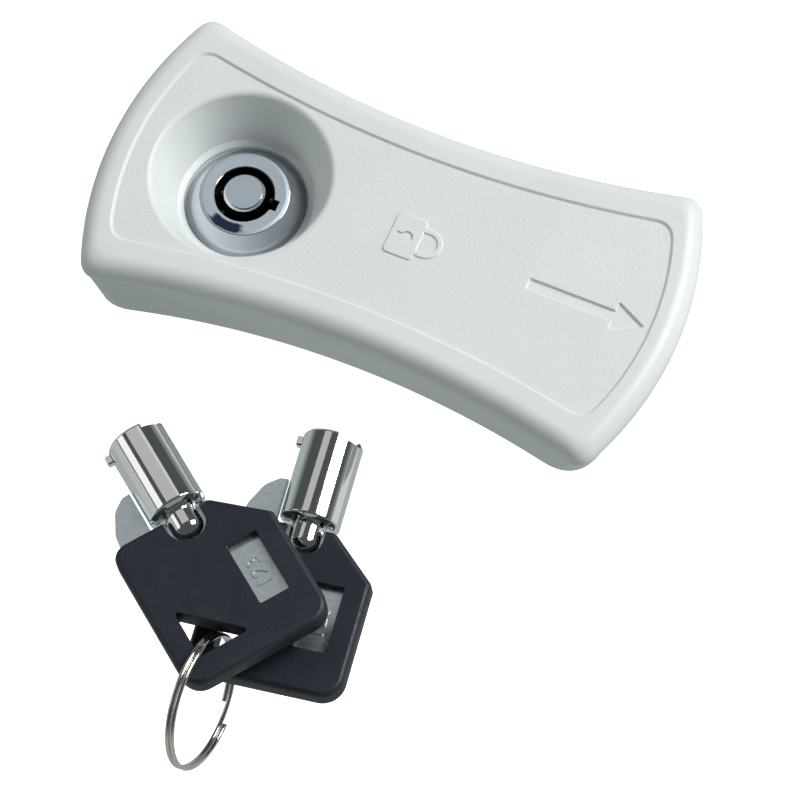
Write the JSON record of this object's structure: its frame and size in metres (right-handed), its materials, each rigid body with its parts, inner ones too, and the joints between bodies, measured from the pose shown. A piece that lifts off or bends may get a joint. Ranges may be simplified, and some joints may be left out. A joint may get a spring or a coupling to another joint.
{
  "type": "keyed window lock",
  "caption": "Bow-tie pull handle for a sliding window with a tubular cam lock in a deep well, its inside cam hardware, and tubular keys on a split ring.",
  "frame": {"origin": "under the middle of the handle, on the outer face of the pane that the gasket seals to", "axes": "+Z out of the pane towards the user, +X along the handle from the lock towards the arrow, +Y across the handle away from the keys"},
  "size_m": [0.0972, 0.1173, 0.0532],
  "materials": {
    "shell_plastic": "satin rim with a fine leather grain on the sunk panel",
    "gasket_rubber": "matt",
    "lock_chrome": "bright chrome plate, turned face",
    "brass": "bright",
    "hardware_steel": "zinc plated",
    "ring_nickel": "polished nickel",
    "key_chrome": "mirror",
    "key_steel": "pressed sheet, dull nickel",
    "key_plastic": "fine speckled grain"
  },
  "bodies": {
    "handle": {"handle_shell": "shell_plastic", "pane_gasket": "gasket_rubber", "lock_housing": "lock_chrome", "pin_sleeve": "brass", "sleeve_pin": "hardware_steel", "pin_spring_1": "hardware_steel", "pin_spring_2": "hardware_steel", "pin_spring_3": "hardware_steel", "pin_spring_4": "hardware_steel", "pin_spring_5": "hardware_steel", "pin_spring_6": "hardware_steel", "pin_spring_7": "hardware_steel", "clamp_washer": "hardware_steel", "tooth_washer": "hardware_steel", "lock_nut": "brass", "threaded_insert": "brass", "screw_washer": "hardware_steel", "fixing_screw": "hardware_steel"},
    "turning_core": {"rotor": "lock_chrome", "stop_washer": "hardware_steel", "cam": "hardware_steel", "cam_spring_washer": "hardware_steel", "cam_nut": "hardware_steel"},
    "key_pin_1": {"key_pin_1": "brass"},
    "key_pin_2": {"key_pin_2": "brass"},
    "key_pin_3": {"key_pin_3": "brass"},
    "key_pin_4": {"key_pin_4": "brass"},
    "key_pin_5": {"key_pin_5": "brass"},
    "key_pin_6": {"key_pin_6": "brass"},
    "key_pin_7": {"key_pin_7": "brass"},
    "driver_pin_1": {"driver_pin_1": "hardware_steel"},
    "driver_pin_2": {"driver_pin_2": "hardware_steel"},
    "driver_pin_3": {"driver_pin_3": "hardware_steel"},
    "driver_pin_4": {"driver_pin_4": "hardware_steel"},
    "driver_pin_5": {"driver_pin_5": "hardware_steel"},
    "driver_pin_6": {"driver_pin_6": "hardware_steel"},
    "driver_pin_7": {"driver_pin_7": "hardware_steel"},
    "key_ring": {"key_ring": "ring_nickel"},
    "key_1": {"key_1_barrel": "key_chrome", "key_1_blade": "key_steel", "key_1_head": "key_plastic"},
    "key_2": {"key_2_barrel": "key_chrome", "key_2_blade": "key_steel", "key_2_head": "key_plastic"}
  },
  "joints": [
    {"name": "lock_turn", "type": "hinge", "parent": "handle", "child": "turning_core", "pos_m": [-0.026, 0, 0], "axis": [0, 0, 1], "range_deg": [0, 90]},
    {"name": "key_pin_1_push", "type": "slide", "parent": "turning_core", "child": "key_pin_1", "axis": [0, 0, -1], "range_m": [0, 0.0009], "stiffness_N_per_m": 60, "springref_m": -0.003},
    {"name": "key_pin_2_push", "type": "slide", "parent": "turning_core", "child": "key_pin_2", "axis": [0, 0, -1], "range_m": [0, 0.0015], "stiffness_N_per_m": 60, "springref_m": -0.003},
    {"name": "key_pin_3_push", "type": "slide", "parent": "turning_core", "child": "key_pin_3", "axis": [0, 0, -1], "range_m": [0, 0.0006], "stiffness_N_per_m": 60, "springref_m": -0.003},
    {"name": "key_pin_4_push", "type": "slide", "parent": "turning_core", "child": "key_pin_4", "axis": [0, 0, -1], "range_m": [0, 0.0012], "stiffness_N_per_m": 60, "springref_m": -0.003},
    {"name": "key_pin_5_push", "type": "slide", "parent": "turning_core", "child": "key_pin_5", "axis": [0, 0, -1], "range_m": [0, 0.0009], "stiffness_N_per_m": 60, "springref_m": -0.003},
    {"name": "key_pin_6_push", "type": "slide", "parent": "turning_core", "child": "key_pin_6", "axis": [0, 0, -1], "range_m": [0, 0.0015], "stiffness_N_per_m": 60, "springref_m": -0.003},
    {"name": "key_pin_7_push", "type": "slide", "parent": "turning_core", "child": "key_pin_7", "axis": [0, 0, -1], "range_m": [0, 0.0006], "stiffness_N_per_m": 60, "springref_m": -0.003},
    {"name": "driver_pin_1_push", "type": "slide", "parent": "handle", "child": "driver_pin_1", "axis": [0, 0, -1], "range_m": [0, 0.0009], "stiffness_N_per_m": 60, "springref_m": -0.003, "deforming": ["pin_spring_1"]},
    {"name": "driver_pin_2_push", "type": "slide", "parent": "handle", "child": "driver_pin_2", "axis": [0, 0, -1], "range_m": [0, 0.0015], "stiffness_N_per_m": 60, "springref_m": -0.003, "deforming": ["pin_spring_2"]},
    {"name": "driver_pin_3_push", "type": "slide", "parent": "handle", "child": "driver_pin_3", "axis": [0, 0, -1], "range_m": [0, 0.0006], "stiffness_N_per_m": 60, "springref_m": -0.003, "deforming": ["pin_spring_3"]},
    {"name": "driver_pin_4_push", "type": "slide", "parent": "handle", "child": "driver_pin_4", "axis": [0, 0, -1], "range_m": [0, 0.0012], "stiffness_N_per_m": 60, "springref_m": -0.003, "deforming": ["pin_spring_4"]},
    {"name": "driver_pin_5_push", "type": "slide", "parent": "handle", "child": "driver_pin_5", "axis": [0, 0, -1], "range_m": [0, 0.0009], "stiffness_N_per_m": 60, "springref_m": -0.003, "deforming": ["pin_spring_5"]},
    {"name": "driver_pin_6_push", "type": "slide", "parent": "handle", "child": "driver_pin_6", "axis": [0, 0, -1], "range_m": [0, 0.0015], "stiffness_N_per_m": 60, "springref_m": -0.003, "deforming": ["pin_spring_6"]},
    {"name": "driver_pin_7_push", "type": "slide", "parent": "handle", "child": "driver_pin_7", "axis": [0, 0, -1], "range_m": [0, 0.0006], "stiffness_N_per_m": 60, "springref_m": -0.003, "deforming": ["pin_spring_7"]},
    {"name": "keys_lift", "type": "slide", "parent": "handle", "child": "key_ring", "axis": [0, 0, 1], "range_m": [0, 0.05]},
    {"name": "key_1_swing", "type": "hinge", "parent": "key_ring", "child": "key_1", "pos_m": [0.00349, -0.07418, 0.01784], "axis": [0, 0, 1], "range_deg": [-5, 45]},
    {"name": "key_2_swing", "type": "hinge", "parent": "key_ring", "child": "key_2", "pos_m": [0.00467, -0.0717, 0.01036], "axis": [0, 0, 1], "range_deg": [-45, 5]}
  ],
  "couplings": [
    {"joint": "key_pin_1_push", "follows": "key_pin_2_push", "ratio": 0.6},
    {"joint": "driver_pin_1_push", "follows": "key_pin_2_push", "ratio": 0.6},
    {"joint": "driver_pin_2_push", "follows": "key_pin_2_push", "ratio": 1},
    {"joint": "key_pin_3_push", "follows": "key_pin_2_push", "ratio": 0.4},
    {"joint": "driver_pin_3_push", "follows": "key_pin_2_push", "ratio": 0.4},
    {"joint": "key_pin_4_push", "follows": "key_pin_2_push", "ratio": 0.8},
    {"joint": "driver_pin_4_push", "follows": "key_pin_2_push", "ratio": 0.8},
    {"joint": "key_pin_5_push", "follows": "key_pin_2_push", "ratio": 0.6},
    {"joint": "driver_pin_5_push", "follows": "key_pin_2_push", "ratio": 0.6},
    {"joint": "key_pin_6_push", "follows": "key_pin_2_push", "ratio": 1},
    {"joint": "driver_pin_6_push", "follows": "key_pin_2_push", "ratio": 1},
    {"joint": "key_pin_7_push", "follows": "key_pin_2_push", "ratio": 0.4},
    {"joint": "driver_pin_7_push", "follows": "key_pin_2_push", "ratio": 0.4}
  ]
}
